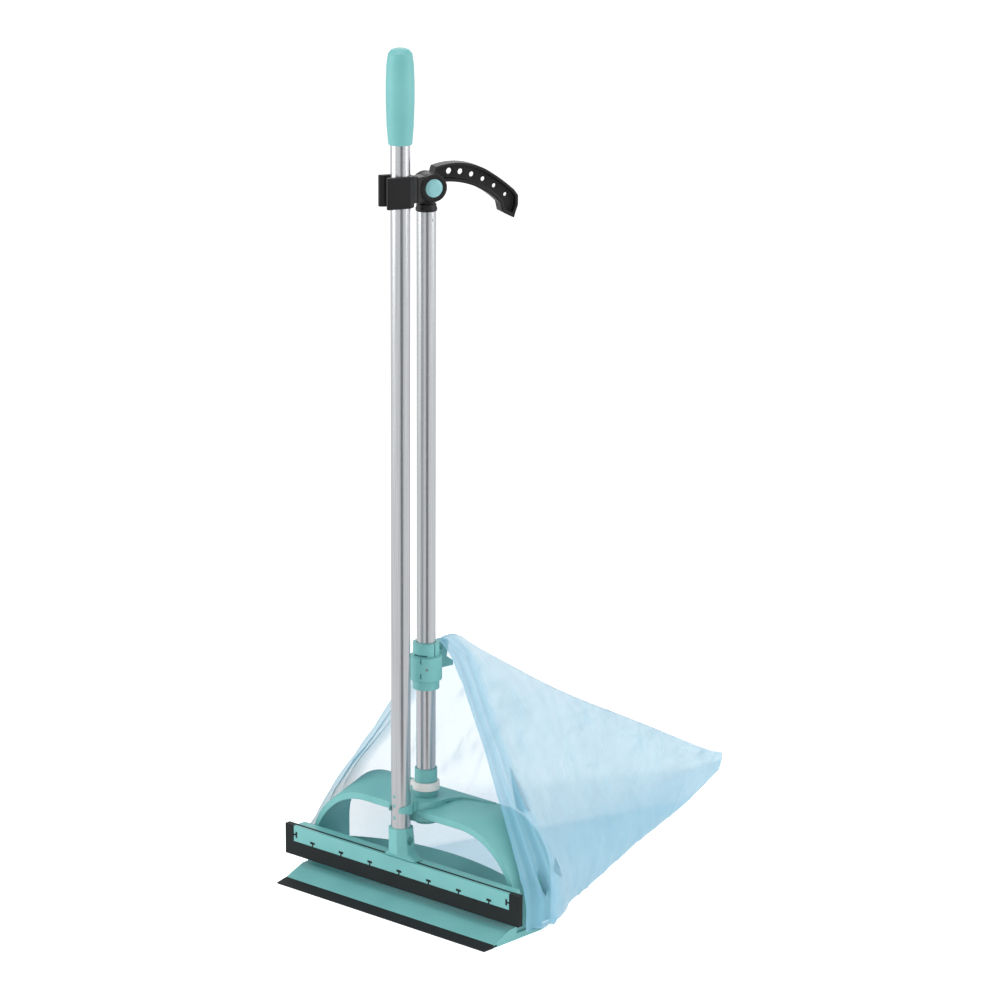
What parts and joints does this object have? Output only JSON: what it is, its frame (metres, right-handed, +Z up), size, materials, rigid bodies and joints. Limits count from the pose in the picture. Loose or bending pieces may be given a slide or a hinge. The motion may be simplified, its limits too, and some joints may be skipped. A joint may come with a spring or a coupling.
{
  "type": "carpet sweeper",
  "caption": "Upright long-handled scoop with an arch, a hook handle and a rubbish bag behind it, and a squeegee sweeper clipped to its front.",
  "frame": {"origin": "on the floor, under the middle of the scoop's tube", "axes": "+Z up along both tubes, -Y towards the scoop's rubber lip, +Y towards the bag's tail, X across the set"},
  "size_m": [0.396, 0.677, 1.077],
  "materials": {
    "teal_plastic": "satin",
    "black_plastic": "satin",
    "black_rubber": "matte",
    "anodised_aluminium": "satin anodised",
    "zinc_steel": "zinc plated",
    "pale_plastic": "satin",
    "bag_film": "translucent film"
  },
  "bodies": {
    "scoop": {"scoop_pan": "teal_plastic", "lip_rubber": "black_rubber", "arch_hood": "teal_plastic", "leg_screws": "zinc_steel", "tube_socket": "teal_plastic", "lock_ring": "pale_plastic", "scoop_tube": "anodised_aluminium", "socket_screw": "zinc_steel", "lower_clip": "teal_plastic", "lower_clip_screw": "zinc_steel", "upper_clip": "black_plastic", "upper_clip_screws": "zinc_steel", "head": "black_plastic", "head_rivet": "zinc_steel", "pivot_pin": "zinc_steel", "button_spring": "zinc_steel", "bag": "bag_film"},
    "sweeper": {"sweeper_tube": "anodised_aluminium", "grip": "teal_plastic", "neck": "teal_plastic", "rubber_blade": "black_rubber", "clamp_plate": "teal_plastic", "squeegee_bar": "teal_plastic", "plate_screws": "zinc_steel"},
    "collar": {"bag_collar": "teal_plastic", "clamp_screw": "zinc_steel", "bag_hook": "teal_plastic", "lever_pin": "zinc_steel"},
    "lever": {"clamp_lever": "teal_plastic"},
    "handle": {"hook_handle": "black_plastic"},
    "button": {"release_button": "teal_plastic", "lock_gear": "pale_plastic"}
  },
  "joints": [
    {"name": "sweeper_release", "type": "slide", "parent": "scoop", "child": "sweeper", "axis": [0, -1, 0], "range_m": [0, 0.15], "deforming": ["upper_clip", "lower_clip"]},
    {"name": "collar_slide", "type": "slide", "parent": "scoop", "child": "collar", "axis": [0, 0, 1], "range_m": [-0.1, 0], "deforming": ["bag"]},
    {"name": "lever_hinge", "type": "hinge", "parent": "collar", "child": "lever", "pos_m": [-0.00626, 0.0172, 0.305], "axis": [0, 0, 1], "range_deg": [-50, 0]},
    {"name": "handle_hinge", "type": "hinge", "parent": "scoop", "child": "handle", "pos_m": [0.00142, 0.0032, 0.9055], "axis": [0.9135, -0.4067, 0], "range_deg": [-50, 40]},
    {"name": "button_press", "type": "slide", "parent": "scoop", "child": "button", "axis": [-0.9135, 0.4067, 0], "range_m": [0, 0.003], "stiffness_N_per_m": 600, "springref_m": -0.002, "deforming": ["button_spring"]}
  ]
}
